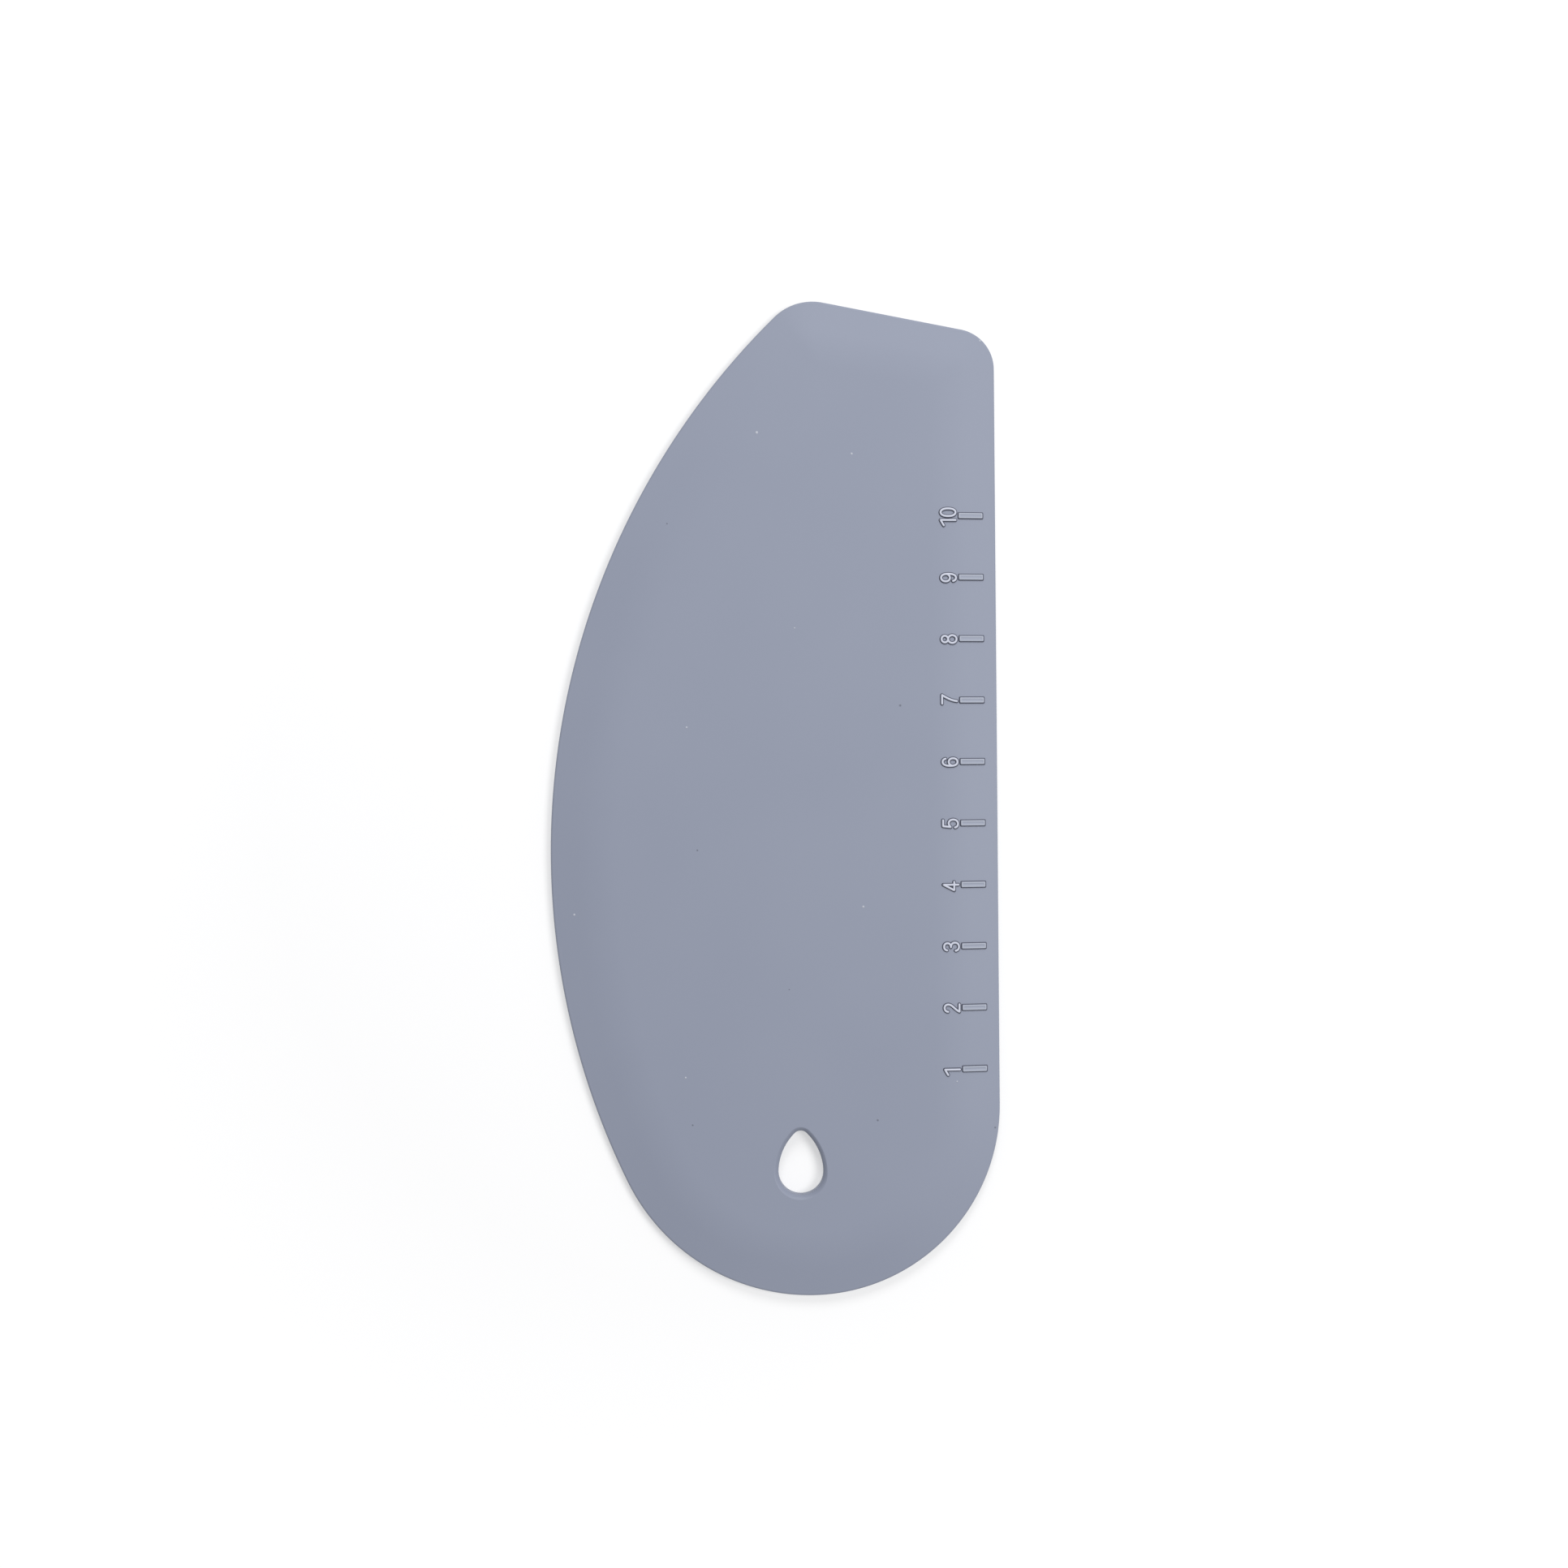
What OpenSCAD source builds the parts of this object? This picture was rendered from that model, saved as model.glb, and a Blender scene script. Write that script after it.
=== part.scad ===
// Bowl scraper: a thin steel core between two silicone skins, with one straight
// scraping edge, one long curved edge, a rounded foot and a slanted top.
// X runs across the blade towards the straight edge, Y runs up to the slanted top,
// and Z is up from the face that the scraper rests on.

/* [Blade] */
// Length from the rounded foot to the highest point of the slanted top
blade_len = 175.26; // [150:0.5:205]
// Width from the curved side to the straight edge
blade_w = 78.85; // [68:0.25:92]
// Thickness of the flat middle
land_t = 3.2; // [2.6:0.1:5]
// Thickness of the lip at the edge
lip_t = 0.9; // [0.6:0.05:1.3]
// Width of the tapered band from the edge to the flat middle
band_w = 11.5; // [8:0.5:14]
// Share of the band that is a plain bevel before it eases into the flat middle
bevel_share = 0.4; // [0.1:0.05:0.8]

/* [Outline] */
// Radius of the foot on the straight edge's side
nose_r = 33.5; // [27:0.5:38]
// Radius of the foot on the curved side
heel_r = 35.8; // [28:0.5:42]
// Distance from the top's highest point to the straight edge
top_w = 32; // [27:0.5:38]
// Fall of the slanted top, in degrees
top_slope = 11.5; // [6:0.5:18]
// Radius of the corner between the curved side and the slanted top
left_corner_r = 9.6; // [5:0.2:14]
// Radius of the corner between the slanted top and the straight edge
right_corner_r = 7.2; // [4:0.2:12]
// Radius left where the flat middle's own corners turn
crease_r = 1.5; // [0.5:0.1:3]

/* [Hang hole] */
// Width of the egg-shaped hole
hole_w = 7.9; // [6.5:0.1:10]
// Length of the egg-shaped hole
hole_len = 11.3; // [10:0.1:14]
// Radius of the hole's narrow end
hole_tip_r = 1.5; // [1:0.1:2.2]
// Distance from the foot's edge to the hole
hole_edge = 17.9; // [16:0.2:24]
// Distance of the hole to the right of the blade's middle
hole_x = 4.25; // [-4:0.25:10]
// Radius of the hole's rounded rim
rim_r = 0.75; // [0.3:0.05:1]

/* [Ruler] */
// Number of marks beside the straight edge
mark_count = 10; // [4:1:10]
// Distance from one mark to the next
mark_pitch = 10.8; // [8:0.05:13]
// Height of the first mark above the foot
first_mark = 39.9; // [34:0.1:48]
// Length of a mark
mark_len = 4.5; // [3:0.05:6]
// Width of a mark
mark_w = 1.2; // [0.8:0.05:1.6]
// Height of a mark above the tapered band
mark_h = 0.3; // [0.2:0.05:0.5]
// Radius of a mark's corners
mark_corner_r = 0.25; // [0.2:0.05:0.4]
// Radius of the rounding along a mark's top edge
mark_edge_r = 0.12; // [0.05:0.01:0.15]
// Gap from the straight edge to the marks
mark_gap = 2.1; // [1.2:0.1:3]

/* [Steel core] */
// Thickness of the steel sheet
core_t = 0.5; // [0.3:0.05:0.8]
// Distance of the sheet's edge from the blade's edge
core_inset = 9.5; // [8:0.25:13]
// Corner radius of the sheet
core_corner_r = 4; // [2:0.25:8]
// Gap between the sheet's edges and the silicone
core_clear = 0.05; // [0.02:0.01:0.1]
// Silicone left round the hang hole
hole_seal = 4; // [3:0.25:6]
// Diameter of the holes that lock the silicone through the sheet
lock_d = 4.5; // [3:0.25:6]
// Distance from the sheet's edge to the middle of the lock holes
lock_edge = 7; // [5:0.25:10]
// Number of lock holes round the sheet, less any that the hang hole takes
lock_count = 16; // [8:1:20]
// Least steel between a lock hole and the hang hole's opening
lock_web = 3; // [2:0.25:5]

/* [Hidden] */
$fn = 96;

// How far a cut runs past the face that it goes through
overrun = 1;
// Steps along each round stretch of the outline, and in the lip and the easing
corner_steps = 8;
upper_side_steps = 16;
lower_side_steps = 9;
heel_steps = 16;
nose_steps = 20;
lip_steps = 4;
ease_steps = 6;
// Steps round the hang hole's wide end, along its flanks, round its narrow end and
// over its rim
wide_steps = 24;
flank_steps = 8;
tip_steps = 8;
rim_steps = 4;
// Steps round each corner of a mark and over its rounded top edge
mark_steps = 3;
crown_steps = 3;

half_len = blade_len / 2;
half_w = blade_w / 2;
mid_z = land_t / 2;
lip_r = lip_t / 2;

// The slanted top: its outward direction, the direction along it to the right, the
// middle of its left corner, and its distance from the blade's middle
top_out = [sin(top_slope), cos(top_slope)];
top_along = [cos(top_slope), -sin(top_slope)];
peak_c = [half_w - top_w, half_len - left_corner_r];
top_reach = top_out * peak_c + left_corner_r;

// The foot's two arcs, which meet at its lowest point. The heel leaves at least a
// tenth of the width beside the nose for the curved side.
nose_c = [half_w - nose_r, nose_r - half_len];
heel_most_share = 0.9;
heel_fit_r = min(heel_r, heel_most_share * (blade_w - nose_r));
heel_c = [nose_c.x, heel_fit_r - half_len];

// The long side is the one arc that is upright at its widest point and touches the
// heel and the left corner. side_rise is how far its middle lies above the heel's: the
// root of the quadratic that equal radii give.
heel_gap = blade_w - nose_r - heel_fit_r;
peak_gap = blade_w - top_w - left_corner_r;
peak_rise = peak_c.y - heel_c.y;
side_slack = peak_gap + 2 * left_corner_r - heel_gap - 2 * heel_fit_r;
side_free = heel_gap * (peak_rise ^ 2 + peak_gap * side_slack);
side_root = sqrt((heel_gap * peak_rise) ^ 2 + (peak_gap - heel_gap) * side_free);
side_rise = side_free / (heel_gap * peak_rise + side_root);
side_r = heel_fit_r + (heel_gap ^ 2 + side_rise ^ 2) / (2 * heel_gap);
side_c = [side_r - half_w, heel_c.y + side_rise];

// Points along an arc, with its last point left out where the next arc starts on it
function arc(c, r, from, to, steps, whole = false) = [
    for (i = [0 : steps - (whole ? 0 : 1)])
        let (a = from + (to - from) * i / steps)
        c + r * [cos(a), sin(a)]
];

// The blade's outline drawn in by an inset: five arcs, the slanted top and the
// straight edge, anticlockwise from the foot of the right corner. A corner never gets
// tighter than least_r, so deep insets keep a crease there.
function blade_ring(inset, least_r) =
    let (right = half_w - inset)
    let (reach = top_reach - inset)
    let (sweep = side_r - inset)
    let (left_r = max(left_corner_r - inset, least_r))
    let (right_r = max(right_corner_r - inset, least_r))
    let (lift = reach - left_r - top_out * side_c)
    let (run = sqrt((sweep - left_r) ^ 2 - lift ^ 2))
    let (left_c = side_c + lift * top_out - run * top_along)
    let (right_x = right - right_r)
    let (right_c = [right_x, (reach - right_r - top_out.x * right_x) / top_out.y])
    let (side_from = atan2(left_c.y - side_c.y, left_c.x - side_c.x))
    let (side_to = 360 + atan2(heel_c.y - side_c.y, heel_c.x - side_c.x))
    concat(
        arc(right_c, right_r, 0, 90 - top_slope, corner_steps, true),
        arc(left_c, left_r, 90 - top_slope, side_from, corner_steps),
        arc(side_c, sweep, side_from, 180, upper_side_steps),
        arc(side_c, sweep, 180, side_to, lower_side_steps),
        arc(heel_c, heel_fit_r - inset, side_to, 270, heel_steps),
        arc(nose_c, nose_r - inset, 270, 360, nose_steps, true)
    );

// Rise of the band from 0 at the lip to 1 at the flat middle: a bevel, then a curve
// whose slope runs out evenly
function taper(u) =
    let (slope = 2 / (1 + bevel_share))
    let (eased = max(0, u - bevel_share))
    slope * (u - eased ^ 2 / (2 * (1 - bevel_share)));

// Height of the blade's face above its mid plane at a distance from the edge
function face_h(inset) =
    inset < lip_r
        ? sqrt(lip_r ^ 2 - (lip_r - inset) ^ 2)
        : lip_r + (mid_z - lip_r) * taper(min(1, (inset - lip_r) / (band_w - lip_r)));

// Insets of the rings that the blade is lofted through
bevel_end = lip_r + bevel_share * (band_w - lip_r);
ring_insets = concat(
    [for (i = [0 : lip_steps]) lip_r * (1 - cos(90 * i / lip_steps))],
    [for (i = [0 : ease_steps]) bevel_end + (band_w - bevel_end) * i / ease_steps]
);

// A closed solid through rings of points that all have the same number of points and
// run anticlockwise from the lowest ring to the highest
module loft(rings) {
    count = len(rings[0]);
    last = len(rings) - 1;
    polyhedron(
        points = [for (ring = rings) each ring],
        faces = concat(
            [[for (i = [0 : count - 1]) i]],
            [
                for (k = [0 : last - 1])
                for (i = [0 : count - 1])
                let (next = (i + 1) % count)
                let (low = k * count)
                let (high = low + count)
                each [[low + i, high + i, high + next], [low + i, high + next, low + next]]
            ],
            [[for (i = [count - 1 : -1 : 0]) last * count + i]]
        )
    );
}

// One half of the blade, from its mid plane up to its face
module half_blade() {
    loft([for (inset = ring_insets) [for (p = blade_ring(inset, crease_r)) [p.x, p.y, face_h(inset)]]]);
}

// The hang hole, an egg of tangent arcs: a half circle for its wide end, a flank on
// each side and the narrow end. Its width, length and tip fix the flanks' radius.
wide_r = hole_w / 2;
egg_rise = hole_len - wide_r - hole_tip_r;
flank_r = (wide_r ^ 2 - hole_tip_r ^ 2 + egg_rise ^ 2) / (2 * (wide_r - hole_tip_r));
flank_turn = atan2(egg_rise, flank_r - wide_r);
hole_c = [hole_x, hole_edge + wide_r - half_len];
tip_c = hole_c + [0, egg_rise];

// Outline of the hang hole, wider all round by grow
function egg_ring(grow) =
    let (off = [flank_r - wide_r, 0])
    concat(
        arc(hole_c, wide_r + grow, 180, 360, wide_steps),
        arc(hole_c - off, flank_r + grow, 0, flank_turn, flank_steps),
        arc(tip_c, hole_tip_r + grow, flank_turn, 180 - flank_turn, tip_steps),
        arc(hole_c + off, flank_r + grow, 180 - flank_turn, 180, flank_steps)
    );

// What the hang hole and its rounded rim take out of one half of the blade
module hole_cut() {
    rim_z = mid_z - rim_r;
    loft(concat(
        [[for (p = egg_ring(0)) [p.x, p.y, -overrun]]],
        [
            for (i = [0 : rim_steps])
            let (a = 90 * i / rim_steps)
            [for (p = egg_ring(rim_r * (1 - cos(a)))) [p.x, p.y, rim_z + rim_r * sin(a)]]
        ],
        [[for (p = egg_ring(rim_r)) [p.x, p.y, mid_z + overrun]]]
    ));
}

// Length of a closed path, and the point at a distance along it
function path_len(path) =
    let (count = len(path))
    [for (i = [0 : count - 1]) norm(path[(i + 1) % count] - path[i])] * [for (p = path) 1];
function along(path, s, i = 0) =
    let (from = path[i])
    let (to = path[(i + 1) % len(path)])
    let (step = norm(to - from))
    s <= step ? from + (to - from) * s / step : along(path, s - step, i + 1);

// Lock holes spread evenly inside the sheet's edge, clear of the hang hole
lock_path = blade_ring(core_inset + lock_edge, core_corner_r);
lock_clear_of_hole = wide_r + hole_seal + lock_web + lock_d / 2;
lock_points = [
    for (i = [0 : lock_count - 1])
        let (p = along(lock_path, path_len(lock_path) * i / lock_count))
        if (min(norm(p - hole_c), norm(p - tip_c)) > lock_clear_of_hole) p
];

// The steel sheet about the mid plane. Grown by the clearance, it is also the pocket
// in the silicone, whose lock posts and sealed rim are what its openings leave.
module core_form(grow) {
    difference() {
        translate([0, 0, -core_t / 2])
            linear_extrude(core_t)
                polygon(blade_ring(core_inset - grow, core_corner_r + grow));
        translate([0, 0, -core_t / 2 - overrun])
            linear_extrude(core_t + 2 * overrun)
                polygon(egg_ring(hole_seal - grow));
        for (p = lock_points)
            translate([p.x, p.y, -core_t / 2 - overrun])
                cylinder(r = lock_d / 2 - grow, h = core_t + 2 * overrun);
    }
}

// Outline of one mark drawn in by an inset: a rectangle with rounded corners
function mark_ring(inset) =
    let (x = mark_len / 2 - mark_corner_r)
    let (y = mark_w / 2 - mark_corner_r)
    let (r = mark_corner_r - inset)
    concat(
        arc([x, -y], r, -90, 0, mark_steps, true),
        arc([x, y], r, 0, 90, mark_steps, true),
        arc([-x, y], r, 90, 180, mark_steps, true),
        arc([-x, -y], r, 180, 270, mark_steps, true)
    );

// Height of the surface under each end of a mark, and its slope
mark_out_h = face_h(mark_gap);
mark_in_h = face_h(mark_gap + mark_len);
mark_tilt = atan2(mark_in_h - mark_out_h, mark_len);

// One mark: a low bar with a rounded top edge, rooted as deep as it stands proud
module mark() {
    loft(concat(
        [[for (p = mark_ring(0)) [p.x, p.y, -mark_h]]],
        [
            for (i = [0 : crown_steps])
            let (a = 90 * i / crown_steps)
            let (z = mark_h + mark_edge_r * (sin(a) - 1))
            [for (p = mark_ring(mark_edge_r * (1 - cos(a)))) [p.x, p.y, z]]
        ]
    ));
}

// All marks that the straight edge has room for below its corner, from the foot
// upwards
straight_x = half_w - right_corner_r;
straight_top = (top_reach - right_corner_r - top_out.x * straight_x) / top_out.y;
module marks() {
    for (i = [0 : mark_count - 1]) {
        y = first_mark + i * mark_pitch - half_len;
        if (y + mark_w < straight_top)
            translate([half_w - mark_gap - mark_len / 2, y, (mark_out_h + mark_in_h) / 2])
                rotate([0, mark_tilt, 0])
                    mark();
    }
}

// A silicone half with its pocket, lock posts and rounded hang hole
module skin_half() {
    difference() {
        half_blade();
        core_form(core_clear);
        hole_cut();
    }
}

// Silicone front, which carries the ruler's marks
module front_skin() {
    color([0.60, 0.62, 0.68])
        translate([0, 0, mid_z]) {
            skin_half();
            marks();
        }
}

// Spring steel sheet that keeps the straight edge stiff
module core_plate() {
    color([0.75, 0.76, 0.78])
        translate([0, 0, mid_z])
            core_form(0);
}

// Plain silicone back, which the scraper rests on
module back_skin() {
    color([0.58, 0.60, 0.66])
        translate([0, 0, mid_z])
            mirror([0, 0, 1])
                skin_half();
}

front_skin();
core_plate();
back_skin();
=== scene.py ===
"""A bowl scraper lying on its back: a thin spring-steel sheet sealed between two
blue-grey silicone skins, with raised ruler marks and numbers beside its straight edge
and an egg-shaped hang hole in its rounded foot.

Everything is in metres, about the middle of the blade: X runs across to the straight
edge, Y up to the slanted top, Z up from the face that the scraper rests on.
"""

import math

import bmesh
import bpy
import numpy as np
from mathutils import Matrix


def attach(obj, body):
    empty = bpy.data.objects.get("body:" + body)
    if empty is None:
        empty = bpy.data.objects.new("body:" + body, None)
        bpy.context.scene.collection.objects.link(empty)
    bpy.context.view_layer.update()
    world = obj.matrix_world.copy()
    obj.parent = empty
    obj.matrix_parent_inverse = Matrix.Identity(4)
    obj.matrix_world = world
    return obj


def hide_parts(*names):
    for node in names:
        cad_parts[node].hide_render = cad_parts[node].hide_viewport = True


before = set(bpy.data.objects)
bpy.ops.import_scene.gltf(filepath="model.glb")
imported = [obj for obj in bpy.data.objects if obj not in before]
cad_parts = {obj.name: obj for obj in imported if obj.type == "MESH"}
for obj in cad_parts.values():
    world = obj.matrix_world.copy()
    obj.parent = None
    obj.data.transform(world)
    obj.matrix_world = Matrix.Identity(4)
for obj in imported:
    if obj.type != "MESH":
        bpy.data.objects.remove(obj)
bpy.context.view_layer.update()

# Steel core: a sheet of spring steel half a millimetre thick, blanked with rounded
# corners, a ring of lock holes and an opening round the hang hole. It lies in the mould
# before the silicone goes in, and is brushed along its length by the rolling.
MM = 0.001
SHEET_THICKNESS = 0.5 * MM
BRUSH_STREAK = 0.25 * MM
BRUSH_STRETCH = 60
BRUSH_DEPTH = 0.004 * MM
BRUSH_STRENGTH = 0.6


def grey(value):
    """A grey of one value, opaque."""
    return value, value, value, 1


# Colours, and roughness as greys, from the darkest streak to the lightest.
BRUSHED_TONES = [(0.3, (0.44, 0.45, 0.47, 1)), (0.7, (0.66, 0.67, 0.69, 1))]
BRUSHED_ROUGHNESS = [(0.2, grey(0.42)), (0.8, grey(0.26))]


def new_material(name):
    """An empty node material: its tree, its Principled shader and its Object coordinates."""
    made = bpy.data.materials.new(name)
    made.use_nodes = True
    tree = made.node_tree
    shader = tree.nodes["Principled BSDF"]
    place = tree.nodes.new("ShaderNodeTexCoord").outputs["Object"]
    return made, tree, shader, place


def noise(tree, place, size, detail, stretch=(1, 1, 1)):
    """Noise whose features measure about size metres, drawn out by stretch."""
    mapping = tree.nodes.new("ShaderNodeMapping")
    mapping.inputs["Scale"].default_value = [1 / s for s in stretch]
    tree.links.new(place, mapping.inputs["Vector"])
    made = tree.nodes.new("ShaderNodeTexNoise")
    made.inputs["Scale"].default_value = 1 / size
    made.inputs["Detail"].default_value = detail
    tree.links.new(mapping.outputs["Vector"], made.inputs["Vector"])
    return made.outputs["Fac"]


def ramp(tree, value, stops):
    """Colours along a value: stops is a list of (position, colour)."""
    made = tree.nodes.new("ShaderNodeValToRGB")
    band = made.color_ramp.elements
    while len(band) < len(stops):
        band.new(0.5)
    for element, (position, colour) in zip(band, stops):
        element.position = position
        element.color = colour
    tree.links.new(value, made.inputs["Fac"])
    return made.outputs["Color"]


def bump(tree, shader, heights):
    """Chains one Bump node for each (height, depth in metres, strength)."""
    normal = None
    for height, depth, strength in heights:
        made = tree.nodes.new("ShaderNodeBump")
        made.inputs["Distance"].default_value = depth
        made.inputs["Strength"].default_value = strength
        tree.links.new(height, made.inputs["Height"])
        if normal:
            tree.links.new(normal, made.inputs["Normal"])
        normal = made.outputs["Normal"]
    tree.links.new(normal, shader.inputs["Normal"])


def brushed_steel():
    """Steel with fine streaks along the sheet's length, the dark ones duller."""
    made, tree, shader, place = new_material("brushed_spring_steel")
    streaks = noise(tree, place, BRUSH_STREAK, 4, stretch=(1, BRUSH_STRETCH, 1))
    tree.links.new(ramp(tree, streaks, BRUSHED_TONES), shader.inputs["Base Color"])
    tree.links.new(ramp(tree, streaks, BRUSHED_ROUGHNESS), shader.inputs["Roughness"])
    shader.inputs["Metallic"].default_value = 1
    bump(tree, shader, [(streaks, BRUSH_DEPTH, BRUSH_STRENGTH)])
    return made


core_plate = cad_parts["core_plate"]
core_plate.data.materials.clear()
core_plate.data.materials.append(brushed_steel())

# Front silicone skin: the upper half of the soft blade, moulded round the steel sheet.
# It is flat in the middle, thins through a bevelled band to a rounded lip with the
# mould's parting line, and has the hang hole with its rounded rim.
BLADE_LENGTH = 175.26 * MM
BLADE_WIDTH = 78.85 * MM
THICKNESS = 3.2 * MM
LIP_THICKNESS = 0.9 * MM
PARTING_DEPTH = 0.04 * MM
BAND_WIDTH = 11.5 * MM
BEVEL_SHARE = 0.4
NOSE_RADIUS = 33.5 * MM
HEEL_RADIUS = 35.8 * MM
TOP_WIDTH = 32 * MM
TOP_SLOPE = math.radians(11.5)
LEFT_CORNER_RADIUS = 9.6 * MM
RIGHT_CORNER_RADIUS = 7.2 * MM
CREASE_RADIUS = 1.5 * MM
SHEET_INSET = 9.5 * MM
SHEET_CORNER_RADIUS = 4 * MM
SHEET_CLEARANCE = 0.05 * MM
HOLE_WIDTH = 7.9 * MM
HOLE_LENGTH = 11.3 * MM
HOLE_TIP_RADIUS = 1.5 * MM
HOLE_FROM_FOOT = 17.9 * MM
HOLE_X = 4.25 * MM
HOLE_RIM_RADIUS = 0.75 * MM
HOLE_RIM_POWER = 1.3
HOLE_SEAL = 4 * MM

# How finely the outline and the rings of the skin are divided.
CORNER_STEPS, TOP_STEPS, SIDE_STEPS = 40, 50, 340
HEEL_STEPS, NOSE_STEPS, EDGE_STEPS = 90, 110, 260
LIP_RINGS, BAND_RINGS, FLAT_RINGS, RIM_RINGS = 9, 28, 5, 25
FLOOR_RINGS, SEAM_RINGS = 3, 2
# Two rings stand close by the crease and the rim, so that the smooth shading stays
# flat between them: a share of the way in from the crease, and times the rim's width.
CREASE_GUARD = 0.01
RIM_GUARD = 1.04
SMOOTH_UNDER = math.radians(40)

half_width = BLADE_WIDTH / 2
half_length = BLADE_LENGTH / 2
middle_z = THICKNESS / 2
lip_radius = LIP_THICKNESS / 2

top_out = np.array([math.sin(TOP_SLOPE), math.cos(TOP_SLOPE)])
top_along = np.array([math.cos(TOP_SLOPE), -math.sin(TOP_SLOPE)])
peak = np.array([half_width - TOP_WIDTH, half_length - LEFT_CORNER_RADIUS])
top_reach = top_out @ peak + LEFT_CORNER_RADIUS
nose = np.array([half_width - NOSE_RADIUS, NOSE_RADIUS - half_length])
heel = np.array([nose[0], HEEL_RADIUS - half_length])
# The long side is the one arc that is upright where the blade is widest and touches the
# heel and the left corner. It reaches farther left than the circles of those two by
# heel_gap and peak_gap. Each touch gives its radius from its centre's height, and the
# two together give side_rise, the height over the heel's centre, as a quadratic's root.
heel_gap = BLADE_WIDTH - NOSE_RADIUS - HEEL_RADIUS
peak_gap = BLADE_WIDTH - TOP_WIDTH - LEFT_CORNER_RADIUS
peak_rise = peak[1] - heel[1]
side_slack = peak_gap + 2 * LEFT_CORNER_RADIUS - heel_gap - 2 * HEEL_RADIUS
side_free = heel_gap * (peak_rise**2 + peak_gap * side_slack)
side_root = math.sqrt((heel_gap * peak_rise) ** 2 + (peak_gap - heel_gap) * side_free)
side_rise = side_free / (heel_gap * peak_rise + side_root)
side_radius = HEEL_RADIUS + (heel_gap**2 + side_rise**2) / (2 * heel_gap)
side = np.array([side_radius - half_width, heel[1] + side_rise])


def arc(centre, radius, start, end, steps):
    """centre + radius (cos a, sin a) for even angles from start up to, but without, end."""
    a = np.linspace(start, end, steps, endpoint=False)
    return np.asarray(centre) + radius * np.stack([np.cos(a), np.sin(a)], -1)


def straight(start, end, steps):
    """Even points from start up to, but without, end."""
    t = np.linspace(0, 1, steps, endpoint=False)[:, None]
    return np.asarray(start) * (1 - t) + np.asarray(end) * t


def blade_ring(inset, least_radius):
    """The blade's outline drawn in by inset, anticlockwise: right corner, slanted top,
    left corner, long side, heel, nose and straight edge. Every arc keeps its centre
    while its radius shrinks by the inset, until a corner is as tight as least_radius."""
    right = half_width - inset
    reach = top_reach - inset
    sweep = side_radius - inset
    left_r = max(LEFT_CORNER_RADIUS - inset, least_radius)
    right_r = max(RIGHT_CORNER_RADIUS - inset, least_radius)
    lift = reach - left_r - top_out @ side
    run = math.sqrt((sweep - left_r) ** 2 - lift**2)
    left_c = side + lift * top_out - run * top_along
    right_x = right - right_r
    right_c = np.array([right_x, (reach - right_r - top_out[0] * right_x) / top_out[1]])
    side_from = math.atan2(*(left_c - side)[::-1])
    side_to = math.tau + math.atan2(*(heel - side)[::-1])
    up = math.pi / 2 - TOP_SLOPE
    return np.concatenate([
        arc(right_c, right_r, 0, up, CORNER_STEPS),
        straight(right_c + right_r * top_out, left_c + left_r * top_out, TOP_STEPS),
        arc(left_c, left_r, up, side_from, CORNER_STEPS),
        arc(side, sweep, side_from, side_to, SIDE_STEPS),
        arc(heel, HEEL_RADIUS - inset, side_to, 1.5 * math.pi, HEEL_STEPS),
        arc(nose, NOSE_RADIUS - inset, 1.5 * math.pi, math.tau, NOSE_STEPS),
        straight((right, nose[1]), (right, right_c[1]), EDGE_STEPS),
    ])


def face_height(inset):
    """Height of the face above the mid plane at an inset from the edge: a quarter round
    at the lip, then a bevel whose slope runs out evenly into the flat middle."""
    inset = np.asarray(inset, float)
    u = np.clip((inset - lip_radius) / (BAND_WIDTH - lip_radius), 0, 1)
    eased = np.maximum(0, u - BEVEL_SHARE)
    taper = 2 / (1 + BEVEL_SHARE) * (u - eased**2 / (2 * (1 - BEVEL_SHARE)))
    bevel = lip_radius + (middle_z - lip_radius) * taper
    from_lip = np.maximum(0, lip_radius - inset)
    round_lip = np.sqrt(np.maximum(0, lip_radius**2 - from_lip**2))
    return np.where(inset < lip_radius, round_lip, bevel)


# The egg is a half circle, two flanks that touch it level with its middle, and a tip.
wide_radius = HOLE_WIDTH / 2
hole = np.array([HOLE_X, HOLE_FROM_FOOT + wide_radius - half_length])
tip_rise = HOLE_LENGTH - wide_radius - HOLE_TIP_RADIUS
flank_spread = wide_radius - HOLE_TIP_RADIUS
flank_radius = (wide_radius**2 - HOLE_TIP_RADIUS**2 + tip_rise**2) / (2 * flank_spread)
flank_turn = math.atan2(tip_rise, flank_radius - wide_radius)


def egg(turn, grow):
    """The hang hole's outline made wider by grow, at the angles turn of its outward
    normal: a half circle below, a flatter flank on each side and a small round tip."""
    turn = np.mod(turn, math.tau)
    low = turn >= math.pi
    right = turn < flank_turn
    left = ~low & (turn > math.pi - flank_turn)
    off = flank_radius - wide_radius
    radius = np.select([low, right | left], [wide_radius, flank_radius], HOLE_TIP_RADIUS)
    radius = radius + grow
    x = hole[0] + np.select([right, left], [-off, off], 0.0)
    y = hole[1] + np.where(low | right | left, 0.0, tip_rise)
    return np.stack([x + radius * np.cos(turn), y + radius * np.sin(turn)], -1)


def egg_turns(ring):
    """For each point of a ring round the hang hole, the outward normal of the rim's
    point that lies on the line from the hole's middle to it, read off a fine table."""
    turns = np.linspace(0, math.tau, 4000)
    towards = egg(turns, HOLE_RIM_RADIUS) - hole
    angles = np.unwrap(np.arctan2(towards[:, 1], towards[:, 0]))
    away = ring - hole
    wanted = np.arctan2(away[:, 1], away[:, 0]) - angles[0]
    return np.interp(np.mod(wanted, math.tau) + angles[0], angles, turns)


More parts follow.
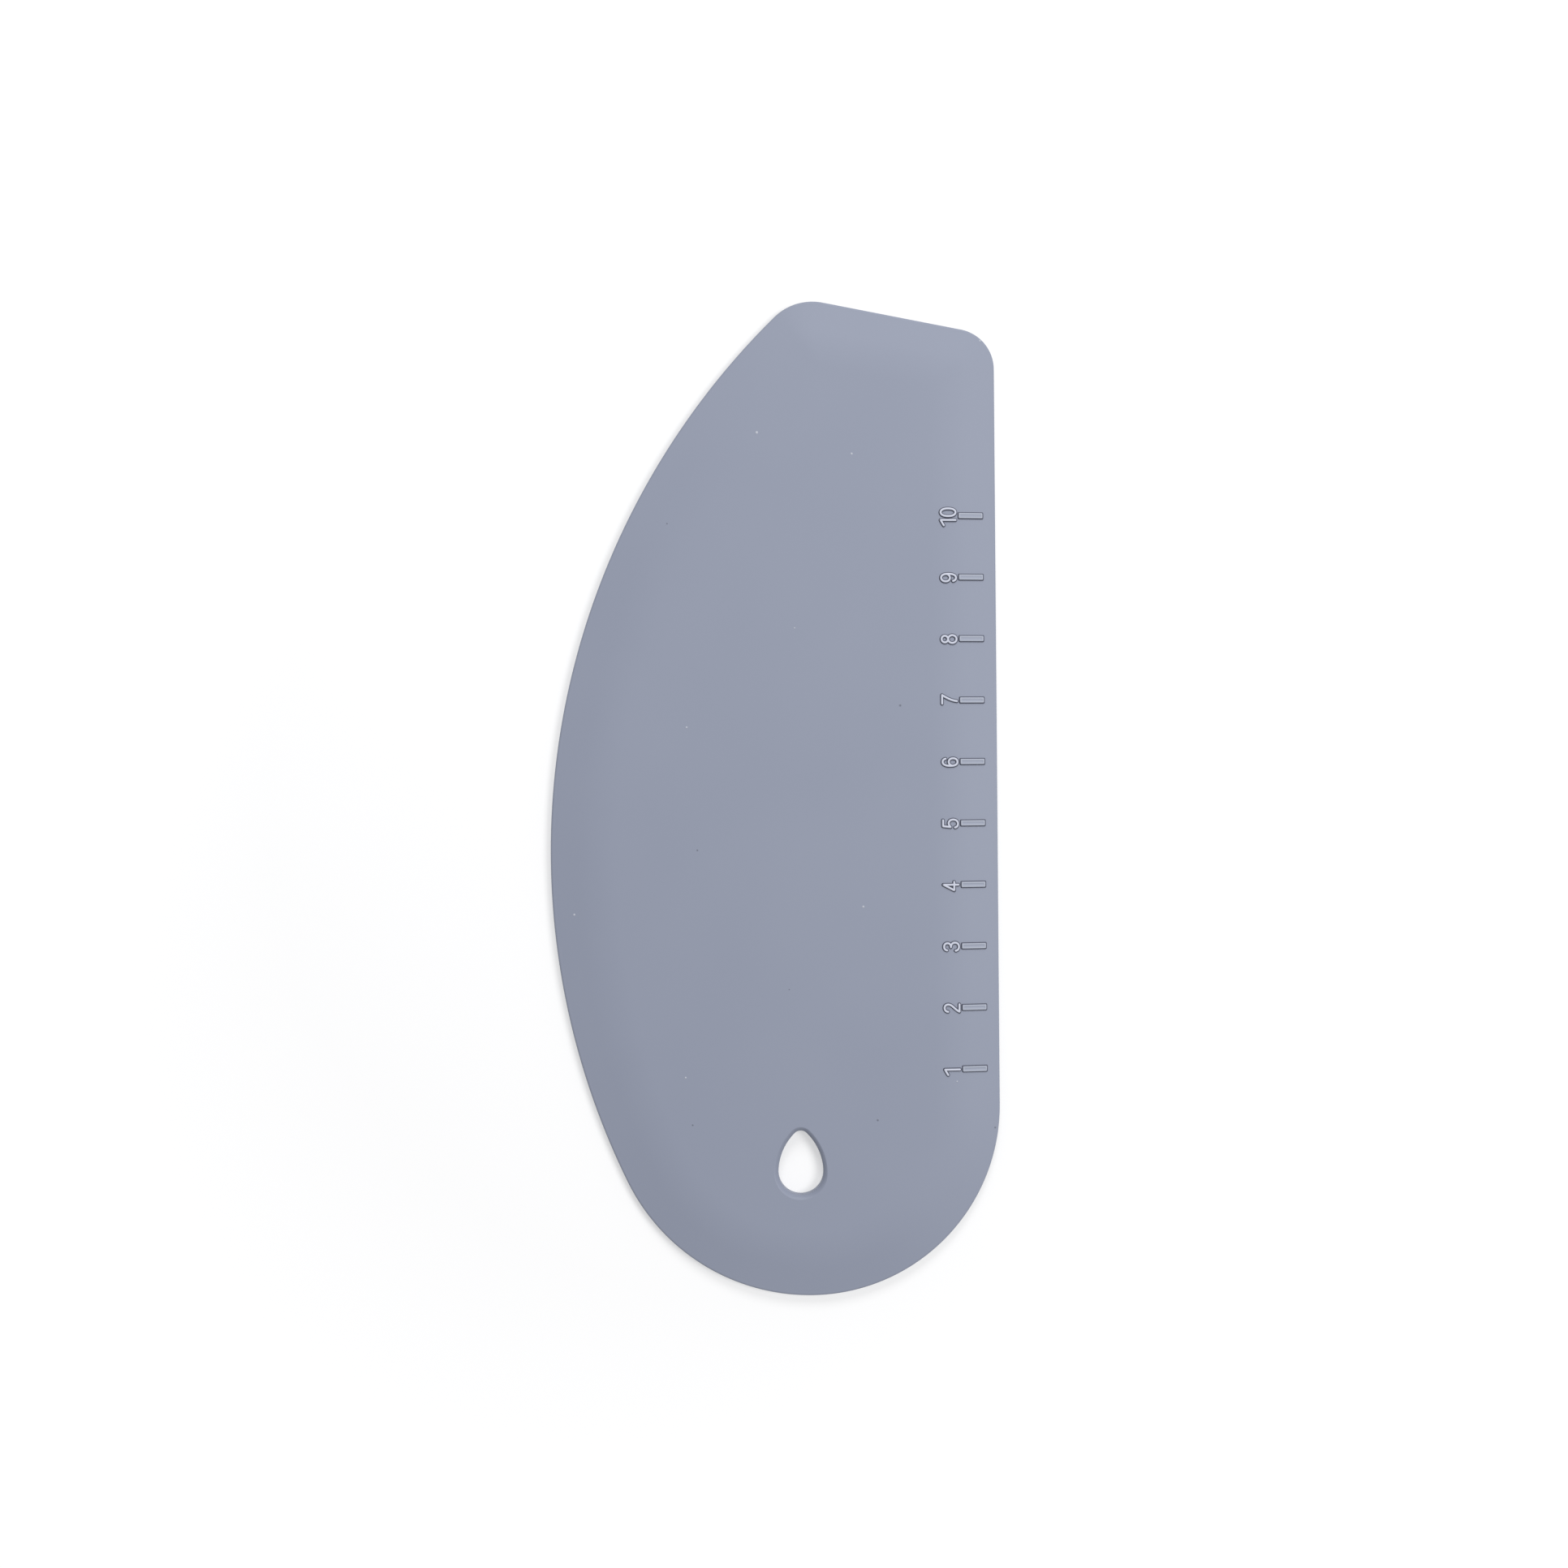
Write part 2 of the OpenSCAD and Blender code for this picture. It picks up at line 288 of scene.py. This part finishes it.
def between(outer, inner, steps):
    """Rings spread evenly between two rings, without either."""
    return [outer * (1 - t) + inner * t for t in np.linspace(0, 1, steps + 2)[1:-1]]


def skin_rings():
    """The rings of one skin about the mid plane, as one closed tube: from the parting
    line over the lip and the band, across the flat middle, round the rim, whose section
    is a quarter of a superellipse, down the hole's wall, and back under through the
    pocket for the sheet."""
    lip_start = math.asin(PARTING_DEPTH / lip_radius)
    insets = np.concatenate([
        lip_radius * (1 - np.cos(np.linspace(lip_start, math.pi / 2, LIP_RINGS))),
        np.linspace(lip_radius, BAND_WIDTH, BAND_RINGS + 1)[1:],
    ])
    rings = [(blade_ring(PARTING_DEPTH, CREASE_RADIUS), 0.0)]
    rings += [(blade_ring(s, CREASE_RADIUS), float(face_height(s))) for s in insets]
    crease = rings[-1][0]
    turns = egg_turns(crease)
    a = np.linspace(math.pi / 2, 0, RIM_RINGS)
    out = HOLE_RIM_RADIUS * (1 - np.maximum(0, np.cos(a)) ** (2 / HOLE_RIM_POWER))
    down = HOLE_RIM_RADIUS * (1 - np.sin(a) ** (2 / HOLE_RIM_POWER))
    rim = [(egg(turns, o), middle_z - d) for o, d in zip(out, down)]
    by_crease = crease * (1 - CREASE_GUARD) + rim[0][0] * CREASE_GUARD
    by_rim = egg(turns, RIM_GUARD * HOLE_RIM_RADIUS)
    flat = [by_crease, *between(by_crease, by_rim, FLAT_RINGS), by_rim]
    rings += [(ring, middle_z) for ring in flat]
    rings += rim
    wall = egg(turns, 0)
    sealed = egg(turns, HOLE_SEAL - SHEET_CLEARANCE)
    pocket = blade_ring(SHEET_INSET - SHEET_CLEARANCE, SHEET_CORNER_RADIUS + SHEET_CLEARANCE)
    floor_z = SHEET_THICKNESS / 2
    rings += [(wall, z) for z in (rim[-1][1] / 2, 0.0)]
    rings += [(sealed, 0.0), (sealed, floor_z)]
    rings += [(ring, floor_z) for ring in between(sealed, pocket, FLOOR_RINGS)]
    rings += [(pocket, floor_z), (pocket, 0.0)]
    rings += [(ring, 0.0) for ring in between(pocket, rings[0][0], SEAM_RINGS)]
    return np.stack([np.column_stack([ring, np.full(len(ring), z)]) for ring, z in rings])


def grid_faces(rows, columns, rows_closed):
    """Four corners of each cell of a grid whose columns close on themselves, and whose
    rows do too if rows_closed. The grid's own order gives each face its side."""
    row = np.arange(rows if rows_closed else rows - 1)[:, None]
    column = np.arange(columns)[None, :]
    below = (row + 1) % rows * columns
    after = (column + 1) % columns
    row = row * columns
    cells = [row + column, row + after, below + after, below + column]
    shape = (len(row), columns)
    return np.stack([np.broadcast_to(c, shape) for c in cells], -1).reshape(-1, 4)


def add_piece(name, points, faces, material):
    """A mesh object at the origin from arrays of points and faces, smooth but for the
    edges that turn by more than SMOOTH_UNDER."""
    mesh = bpy.data.meshes.new(name)
    mesh.from_pydata(points.reshape(-1, 3).tolist(), [], faces.tolist())
    mesh.validate()
    mesh.shade_smooth()
    mesh.set_sharp_from_angle(angle=SMOOTH_UNDER)
    mesh.materials.append(material)
    piece = bpy.data.objects.new(name, mesh)
    bpy.context.scene.collection.objects.link(piece)
    return piece


CLOUD_SIZE = 26 * MM
CLOUD_TONES = [(0.35, (0.226, 0.249, 0.320, 1)), (0.65, (0.231, 0.254, 0.325, 1))]
SILICONE_ROUGHNESS = 0.55
SILICONE_IOR = 1.41
SHEEN = 0.08
SHEEN_ROUGHNESS = 0.4
# The size, the depth and the strength of each swelling of the surface.
MOULD_GRAIN = (0.22 * MM, 0.004 * MM, 0.35)
FACE_SWELL = (14 * MM, 0.03 * MM, 0.5)
# A grain of dust for each cell a step wide. Its radius is a share of the step, the
# least one and up to the spread more, and chance makes it pale or dark.
DUST_STEP = 26 * MM
DUST_LEAST = 0.005
DUST_SPREAD = 0.007
DUST_TONES = [(0.49, (0.52, 0.54, 0.58, 1)), (0.51, (0.10, 0.11, 0.14, 1))]
DUST_HEIGHT = 0.06 * MM


def worked_out(tree, operation, first, second):
    """A Math node's value, for sockets or plain numbers, kept between 0 and 1."""
    made = tree.nodes.new("ShaderNodeMath")
    made.operation = operation
    made.use_clamp = True
    for value, socket in ((first, made.inputs[0]), (second, made.inputs[1])):
        if isinstance(value, (int, float)):
            socket.default_value = value
        else:
            tree.links.new(value, socket)
    return made.outputs[0]


def dust(tree, place):
    """How near each place is to its grain's middle, 1 - distance / radius, from 0 at the
    grain's edge and beyond it to 1, and the grain's colour."""
    cells = tree.nodes.new("ShaderNodeTexVoronoi")
    cells.voronoi_dimensions = "2D"
    cells.inputs["Scale"].default_value = 1 / DUST_STEP
    tree.links.new(place, cells.inputs["Vector"])
    chance = tree.nodes.new("ShaderNodeSeparateColor")
    tree.links.new(cells.outputs["Color"], chance.inputs["Color"])
    more = worked_out(tree, "MULTIPLY", chance.outputs["Red"], DUST_SPREAD)
    radius = worked_out(tree, "ADD", more, DUST_LEAST)
    share = worked_out(tree, "DIVIDE", cells.outputs["Distance"], radius)
    grain = worked_out(tree, "SUBTRACT", 1.0, share)
    return grain, ramp(tree, chance.outputs["Green"], DUST_TONES)


def silicone():
    """Matte silicone: an even blue grey with the faintest clouding, a fine mould grain,
    a slow swell, a little dust, and the soft sheen of rubber."""
    made, tree, shader, place = new_material("blue_grey_silicone")
    tone = ramp(tree, noise(tree, place, CLOUD_SIZE, 2), CLOUD_TONES)
    grain, grain_tone = dust(tree, place)
    mix = tree.nodes.new("ShaderNodeMix")
    mix.data_type = "RGBA"
    factor, first, second = mix.inputs[0], mix.inputs[6], mix.inputs[7]
    tree.links.new(grain, factor)
    tree.links.new(tone, first)
    tree.links.new(grain_tone, second)
    tree.links.new(mix.outputs[2], shader.inputs["Base Color"])
    shader.inputs["Roughness"].default_value = SILICONE_ROUGHNESS
    shader.inputs["IOR"].default_value = SILICONE_IOR
    shader.inputs["Sheen Weight"].default_value = SHEEN
    shader.inputs["Sheen Roughness"].default_value = SHEEN_ROUGHNESS
    matt_size, *matt = MOULD_GRAIN
    swell_size, *swell = FACE_SWELL
    bump(tree, shader, [
        (noise(tree, place, matt_size, 2), *matt),
        (noise(tree, place, swell_size, 1), *swell),
        (grain, DUST_HEIGHT, 1.0),
    ])
    return made


rubber = silicone()
skin = skin_rings()
skin_faces = grid_faces(*skin.shape[:2], True)
lift_to_middle = np.array([0, 0, middle_z])

front_skin = add_piece("front_silicone_skin", skin + lift_to_middle, skin_faces, rubber)
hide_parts("front_skin")
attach(front_skin, "root")

# Back silicone skin: the lower half of the blade, of the same silicone and moulded in
# the same shot. It is the plain mirror image of the front one and cures to it all round
# the sheet, so its grid is turned over and its faces are wound the other way.
turned_over = skin * [1, 1, -1] + lift_to_middle
back_skin = add_piece("back_silicone_skin", turned_over, skin_faces[:, ::-1], rubber)
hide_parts("back_skin")
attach(back_skin, "root")

# Lock posts: where the silicone ran through the sheet's ring of holes and joins the two
# skins, so that they can't peel off the steel. They are cast with the skins.
LOCK_DIAMETER = 4.5 * MM
LOCK_EDGE = 7 * MM
LOCK_COUNT = 16
LOCK_WEB = 3 * MM
POST_SIDES = 32
WELD_WITHIN = 1e-4 * MM
FLAT_UNDER = 1e-5 * MM


def lock_places():
    """Even steps along a ring inside the sheet's edge, without those too near the hang
    hole for steel to stand between."""
    ring = blade_ring(SHEET_INSET + LOCK_EDGE, SHEET_CORNER_RADIUS)
    loop = np.concatenate([ring, ring[:1]])
    steps = np.linalg.norm(np.diff(loop, axis=0), axis=1)
    walked = np.concatenate([[0], np.cumsum(steps)])
    at = np.arange(LOCK_COUNT) * walked[-1] / LOCK_COUNT
    places = np.stack([np.interp(at, walked, loop[:, k]) for k in (0, 1)], -1)
    least = wide_radius + HOLE_SEAL + LOCK_WEB + LOCK_DIAMETER / 2
    from_hole = np.linalg.norm(places - hole, axis=1)
    from_tip = np.linalg.norm(places - hole - [0, tip_rise], axis=1)
    return places[np.minimum(from_hole, from_tip) > least]


def lock_posts():
    """One post's profile, out from its axis, up and back, turned round each place."""
    radius = LOCK_DIAMETER / 2 - SHEET_CLEARANCE
    out = np.array([0, 0.5, 1, 1, 1, 0.5, 0]) * radius
    up = np.array([-1, -1, -1, 0, 1, 1, 1]) * SHEET_THICKNESS / 2 + middle_z
    ring = arc((0, 0), 1, 0, math.tau, POST_SIDES)
    level = np.broadcast_to(up[:, None, None], (len(up), POST_SIDES, 1))
    post = np.concatenate([out[:, None, None] * ring, level], -1)
    places = lock_places()
    at = np.concatenate([places, np.zeros((len(places), 1))], 1)
    points = post[None] + at[:, None, None, :]
    faces = grid_faces(len(up), POST_SIDES, False)
    each = len(up) * POST_SIDES
    return points, np.concatenate([faces + k * each for k in range(len(places))])


def weld(piece):
    """Joins the points that coincide where a grid closes on itself."""
    work = bmesh.new()
    work.from_mesh(piece.data)
    bmesh.ops.remove_doubles(work, verts=work.verts, dist=WELD_WITHIN)
    bmesh.ops.dissolve_degenerate(work, edges=work.edges, dist=FLAT_UNDER)
    work.to_mesh(piece.data)
    work.free()


posts = add_piece("silicone_lock_posts", *lock_posts(), rubber)
weld(posts)
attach(posts, "root")

# Ruler marks: ten short bars cast proud of the front skin on the band beside the
# straight edge. Their crests are painted paler than the skin as a painted highlight, and
# the corner at their foot is painted dark as painted shade.
MARK_COUNT = 10
MARK_PITCH = 10.8 * MM
FIRST_MARK = 39.9 * MM
MARK_LENGTH = 4.5 * MM
MARK_WIDTH = 1.2 * MM
MARK_HEIGHT = 0.3 * MM
MARK_GAP = 2.1 * MM
MARK_EDGE_RADIUS = 0.12 * MM
MARK_CORNER_POWER = 9
MARK_DISH = 0.06 * MM
# MARK_SINK is painted shade in the middle of a mark's dished crest, and MARK_TONE places the
# mark's painted highlight among the wall colours.
MARK_SINK = 0.19
MARK_TONE = 0.9
MARK_STEPS = 18
END_STEPS = 11
RELIEF_ROOT = 0.15 * MM
FOOT_WIDTH = 0.12 * MM
FOOT_DRAFT = 0.25
FOOT_SAG = 0.3
FOOT_RUN_OUT = 0.012 * MM
CREST_STEPS = (0, 0.25, 0.5, 0.75)
SINK_POWER = 4
mark_heights_up = FIRST_MARK + MARK_PITCH * np.arange(MARK_COUNT) - half_length


def relief_profile(half, height, edge, crown):
    """Half of a raised line's section from its middle outwards, as (distance, height):
    a crest that swells by crown or sinks where crown is negative, a quarter round, a
    wall with a little draft, a hollow foot that runs out on the face, and the root."""
    a = np.linspace(0, math.pi / 2, 4)
    flat = half - edge
    crest = [(flat * t, height + crown * (1 - t**2) ** 2) for t in CREST_STEPS]
    shoulder = np.stack([half - edge * (1 - np.sin(a)), height - edge * (1 - np.cos(a))], -1)
    wall = half + FOOT_DRAFT * FOOT_WIDTH
    sag = FOOT_SAG * height * (1 - np.sin(a)) + FOOT_RUN_OUT
    hollow = np.stack([wall + FOOT_WIDTH * (1 - np.cos(a)), sag], -1)
    return np.concatenate([crest, shoulder, hollow, [(wall + FOOT_WIDTH, -RELIEF_ROOT)]])


def raised_line(path, closed, half, edge, crown, corner=2, tone=1.0, sink=0.0):
    """A section carried along a path on the face of the band. Its columns run over the
    crest from root to root. An open path's ends are half turns of the section, or near
    square where corner, the power of their superellipse, is high. With the points comes
    how far up the wall each is, from 0 at the foot to tone at the crest, less a share
    sink in the middle of a dished crest."""
    if closed:
        path = path[:-1]
        along = np.roll(path, -1, 0) - np.roll(path, 1, 0)
    else:
        along = np.gradient(path, axis=0)
    along /= np.linalg.norm(along, axis=1, keepdims=True)
    profile = relief_profile(half, MARK_HEIGHT, edge, crown)
    # The share picks the painted shading: painted shade at the foot of the wall, a painted
    # highlight on the crest, and painted shade in the middle of a dished crest.
    share = tone * np.clip(profile[:, 1] / MARK_HEIGHT, 0, 1)
    crest = np.arange(len(CREST_STEPS))
    dip = sink * (1 - (profile[crest, 0] / (half - edge)) ** SINK_POWER)
    share[crest] = tone * (1 - dip)
    s = np.concatenate([-profile[:0:-1, 0], profile[:, 0]])
    z = np.concatenate([profile[:0:-1, 1], profile[:, 1]])
    share = np.concatenate([share[:0:-1], share])
    across = np.stack([along[:, 1], -along[:, 0]], -1)
    grid = path[:, None] + across[:, None] * s[:, None]
    if not closed:
        b = np.linspace(0, math.pi / 2, END_STEPS)[1:, None, None]
        reach = (np.cos(b) ** corner + np.sin(b) ** corner) ** (-1 / corner)
        on = np.abs(s[:, None]) * np.sin(b) * reach
        aside = s[:, None] * np.cos(b) * reach
        end = path[-1] + along[-1] * on + across[-1] * aside
        start = path[0] - along[0] * on + across[0] * aside
        grid = np.concatenate([start[::-1], grid, end])
    face = middle_z + face_height(half_width - grid[..., 0])
    points = np.concatenate([grid, (face + z)[..., None]], -1)
    return points, np.broadcast_to(share, (len(grid), len(s)))


def add_relief(name, lines, material):
    """One piece from several raised lines, with their wall shares as an attribute."""
    points, faces, shares, count = [], [], [], 0
    for (grid, share), closed in lines:
        points.append(grid.reshape(-1, 3))
        faces.append(grid_faces(*share.shape, closed) + count)
        shares.append(share.ravel())
        count += share.size
    piece = add_piece(name, np.concatenate(points), np.concatenate(faces), material)
    up = piece.data.attributes.new("up_the_wall", "FLOAT", "POINT")
    up.data.foreach_set("value", np.concatenate(shares).astype(np.float32))
    weld(piece)
    return piece


# Painted shading, from painted shade at the foot of a wall up to a painted highlight on the
# crest of a mark and of a number.
FOOT_SHADE = (0.06, 0.064, 0.094, 1)
WALL_HALF_SHADE = (0.24, 0.265, 0.34, 1)
MARK_CREST_HIGHLIGHT = (0.37, 0.395, 0.46, 1)
CREST_HIGHLIGHT = (0.49, 0.51, 0.595, 1)
WALL_SHADING_TONES = [(0.0, FOOT_SHADE), (0.3, FOOT_SHADE), (0.7, WALL_HALF_SHADE), (MARK_TONE, MARK_CREST_HIGHLIGHT), (0.98, CREST_HIGHLIGHT)]
RAISED_ROUGHNESS = 0.5
RAISED_GRAIN = (0.2 * MM, 0.003 * MM, 0.3)


def raised_silicone_painted_shading():
    """The same silicone with painted shading: a painted highlight on the crests and
    painted shade in the corner at the foot of each wall."""
    made, tree, shader, place = new_material("raised_silicone_painted_shading")
    up = tree.nodes.new("ShaderNodeAttribute")
    up.attribute_name = "up_the_wall"
    tree.links.new(ramp(tree, up.outputs["Fac"], WALL_SHADING_TONES), shader.inputs["Base Color"])
    shader.inputs["Roughness"].default_value = RAISED_ROUGHNESS
    shader.inputs["IOR"].default_value = SILICONE_IOR
    size, *swelling = RAISED_GRAIN
    bump(tree, shader, [(noise(tree, place, size, 2), *swelling)])
    return made


def mark_line(y):
    """The raised line of one mark, its end MARK_GAP in from the straight edge."""
    half = MARK_WIDTH / 2 - MARK_EDGE_RADIUS
    end = half_width - MARK_GAP - half
    start = end - MARK_LENGTH + 2 * half
    path = straight((start, y), (end, y), MARK_STEPS)
    return raised_line(
        path, False, half, MARK_EDGE_RADIUS, -MARK_DISH,
        corner=MARK_CORNER_POWER, tone=MARK_TONE, sink=MARK_SINK,
    )


raised = raised_silicone_painted_shading()
marks = add_relief("ruler_marks", [(mark_line(y), False) for y in mark_heights_up], raised)
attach(marks, "root")

# Ruler numbers: 1 to 10 in plain thin strokes, cast with the marks and turned to be
# read with the straight edge downwards. Each figure is drawn by its middle lines.
FIGURE_FOOT_X = 32.3 * MM
FIGURE_SCALE = 0.955 * MM
FIGURE_SHIFT = -0.1 * MM
TENS_SHIFTS = (-0.72 * MM, 0.66 * MM)
STROKE_HALF = 0.19 * MM
STROKE_EDGE = 0.1 * MM
STROKE_CROWN = 0.02 * MM
STROKE_STEP = 0.07 * MM
LEAST_STEPS = 4
CURVE_STEPS = 24


def curve(*points):
    """A chain of cubic curves: a point, then two handles and a point for each."""
    p = np.array(points, float)
    t = np.linspace(0, 1, CURVE_STEPS, endpoint=False)[:, None]
    parts = [
        (1 - t) ** 3 * a + 3 * (1 - t) ** 2 * t * b + 3 * (1 - t) * t**2 * c + t**3 * d
        for a, b, c, d in zip(p[0:-1:3], p[1::3], p[2::3], p[3::3])
    ]
    return np.concatenate(parts + [p[-1:]])


def oval(x, y, a, b, square=0.56):
    """A closed curve round (x, y), a and b its half sizes; square is how far its
    handles reach, 0.552 for an ellipse and more for flatter sides."""
    h, v = a * square, b * square
    return curve(
        (x, y - b), (x + h, y - b), (x + a, y - v),
        (x + a, y), (x + a, y + v), (x + h, y + b),
        (x, y + b), (x - h, y + b), (x - a, y + v),
        (x - a, y), (x - a, y - v), (x - h, y - b), (x, y - b),
    )


def line(*points):
    """A chain of straight lines through the points."""
    return np.array(points, float)


# The middle lines of each figure in millimetres, its foot at 0 and its middle at 0. The
# nine is the six turned round.
six = curve(
    (0.62, 2.20), (0.55, 2.55), (0.34, 2.75),
    (0.04, 2.75), (-0.42, 2.75), (-0.68, 2.25),
    (-0.68, 1.30), (-0.68, 0.45), (-0.42, 0.0),
    (0.02, 0.0), (0.43, 0.0), (0.70, 0.35),
    (0.70, 0.82), (0.70, 1.32), (0.42, 1.62),
    (0.04, 1.62), (-0.32, 1.62), (-0.58, 1.35), (-0.64, 0.98),
)
FIGURES = {
    "0": [oval(0, 1.375, 0.70, 1.375, 0.62)],
    "1": [
        line((0.03, 0), (0.03, 2.75)),
        curve((0.03, 2.75), (-0.2, 2.62), (-0.6, 2.42), (-0.94, 2.18)),
    ],
    "2": [
        curve(
            (-0.64, 2.10), (-0.62, 2.50), (-0.34, 2.75),
            (0.05, 2.75), (0.45, 2.75), (0.68, 2.48),
            (0.68, 2.07), (0.68, 1.70), (0.44, 1.38),
            (0.16, 1.08), (-0.12, 0.78), (-0.46, 0.42), (-0.66, 0.0),
        ),
        line((-0.66, 0), (0.68, 0)),
    ],
    "3": [
        curve(
            (-0.66, 2.20), (-0.62, 2.55), (-0.35, 2.75),
            (0.0, 2.75), (0.38, 2.75), (0.64, 2.50),
            (0.64, 2.12), (0.64, 1.76), (0.38, 1.50), (-0.10, 1.50),
        ),
        curve(
            (-0.10, 1.50), (0.42, 1.50), (0.73, 1.20),
            (0.73, 0.76), (0.73, 0.30), (0.42, 0.0),
            (0.0, 0.0), (-0.42, 0.0), (-0.70, 0.22), (-0.74, 0.62),
        ),
    ],
    "4": [
        line((0.08, 0), (0.08, 2.75)),
        line((0.08, 2.75), (-0.94, 0.78)),
        line((-0.94, 0.78), (0.58, 0.78)),
    ],
    "5": [
        line((0.62, 2.75), (-0.46, 2.75)),
        line((-0.46, 2.75), (-0.62, 1.36)),
        curve(
            (-0.62, 1.36), (-0.42, 1.60), (-0.2, 1.72),
            (0.06, 1.72), (0.48, 1.72), (0.74, 1.36),
            (0.74, 0.88), (0.74, 0.36), (0.42, 0.0),
            (0.0, 0.0), (-0.36, 0.0), (-0.64, 0.17), (-0.70, 0.55),
        ),
    ],
    "6": [six],
    "7": [
        line((-0.55, 2.75), (1.02, 2.75)),
        curve((1.02, 2.75), (0.56, 2.0), (0.06, 1.2), (-0.1, 0.0)),
    ],
    "8": [oval(0, 2.16, 0.60, 0.59), oval(0, 0.78, 0.71, 0.78)],
    "9": [np.array([0, 2.75]) - six],
}


def spread(path, step):
    """Points about step apart along a path, its ends kept."""
    steps = np.linalg.norm(np.diff(path, axis=0), axis=1)
    walked = np.concatenate([[0], np.cumsum(steps)])
    at = np.linspace(0, walked[-1], max(LEAST_STEPS, int(walked[-1] / step)) + 1)
    return np.stack([np.interp(at, walked, path[:, k]) for k in (0, 1)], -1)


def figure_lines(text, y):
    """The raised lines of a number whose middle is level with y. A figure's foot points
    to the straight edge and it is read upwards."""
    made = []
    for figure, shift in zip(text, (0,) if len(text) == 1 else TENS_SHIFTS):
        for stroke in FIGURES[figure]:
            closed = bool(np.allclose(stroke[0], stroke[-1]))
            right, up = stroke.T * FIGURE_SCALE
            place = np.stack([FIGURE_FOOT_X - up, y + FIGURE_SHIFT + shift + right], -1)
            path = spread(place, STROKE_STEP)
            raised_path = raised_line(path, closed, STROKE_HALF, STROKE_EDGE, STROKE_CROWN)
            made.append((raised_path, closed))
    return made


figures = [figure_lines(str(k + 1), y) for k, y in enumerate(mark_heights_up)]
numbers = add_relief("ruler_numbers", [stroke for each in figures for stroke in each], raised)
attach(numbers, "root")

# Floor, light and camera: a pale table lit softly from behind, two softboxes in a white
# room, and the camera above the scraper, placed and turned as for the photograph.
FLOOR_HALF = 4
FLOOR_GAP = 0.02 * MM
# Colours at two distances in metres from the middle of the blade.
FLOOR_TONES = [(0.09, (0.425, 0.425, 0.43, 1)), (0.20, grey(0.53))]
FLOOR_GLOW = 0.485
FLOOR_ROUGHNESS = 0.8
WHITE = grey(1)
ROOM_LIGHT = 0.44
SOFTBOX_SIZE = 0.42

corner_signs = ((-1, -1), (1, -1), (1, 1), (-1, 1))
floor_corners = [(x * FLOOR_HALF, y * FLOOR_HALF, -FLOOR_GAP) for x, y in corner_signs]
floor_mesh = bpy.data.meshes.new("floor")
floor_mesh.from_pydata(floor_corners, [], [(0, 1, 2, 3)])
floor = bpy.data.objects.new("floor", floor_mesh)
bpy.context.scene.collection.objects.link(floor)
pale_table, tree, shader, place = new_material("pale_floor")
away = tree.nodes.new("ShaderNodeVectorMath")
away.operation = "LENGTH"
tree.links.new(place, away.inputs[0])
tree.links.new(ramp(tree, away.outputs["Value"], FLOOR_TONES), shader.inputs["Base Color"])
shader.inputs["Emission Color"].default_value = WHITE
shader.inputs["Emission Strength"].default_value = FLOOR_GLOW
shader.inputs["Roughness"].default_value = FLOOR_ROUGHNESS
floor_mesh.materials.append(pale_table)

world = bpy.data.worlds.new("soft_room")
bpy.context.scene.world = world
world.use_nodes = True
room = world.node_tree.nodes["Background"]
room.inputs["Color"].default_value = WHITE
room.inputs["Strength"].default_value = ROOM_LIGHT


def softbox(name, place, power):
    """A white square area light that faces the middle of the blade: it shines down its
    own -Z, so it is tipped by its place's angle from the vertical, then turned to it."""
    lamp = bpy.data.lights.new(name, "AREA")
    lamp.shape = "SQUARE"
    lamp.size = SOFTBOX_SIZE
    lamp.energy = power
    made = bpy.data.objects.new(name, lamp)
    made.location = place
    x, y, z = place
    made.rotation_euler = (math.atan2(math.hypot(x, y), z), 0, math.atan2(x, -y))
    bpy.context.scene.collection.objects.link(made)


softbox("right_softbox", (0.581, 0.051, 0.933), 6.6)
softbox("top_softbox", (0.0, 0.817, 0.736), 6.2)

CAMERA_X = 1.82 * MM
CAMERA_Y = 2.58 * MM
CAMERA_HEIGHT = 330 * MM
CAMERA_TURN = -math.radians(0.467)
SENSOR_WIDTH_MM = 36
PHOTO_PIXELS = 1932
PHOTO_PIXELS_PER_METRE = 6984

camera_data = bpy.data.cameras.new("camera")
camera_data.sensor_width = SENSOR_WIDTH_MM
frame_width = PHOTO_PIXELS / PHOTO_PIXELS_PER_METRE
camera_data.lens = SENSOR_WIDTH_MM * CAMERA_HEIGHT / frame_width
camera_data.clip_start = 0.01
camera = bpy.data.objects.new("camera", camera_data)
camera.location = (CAMERA_X, CAMERA_Y, middle_z + CAMERA_HEIGHT)
camera.rotation_euler = (0, 0, CAMERA_TURN)
bpy.context.scene.collection.objects.link(camera)
bpy.context.scene.camera = camera
bpy.context.scene.view_settings.view_transform = "Standard"
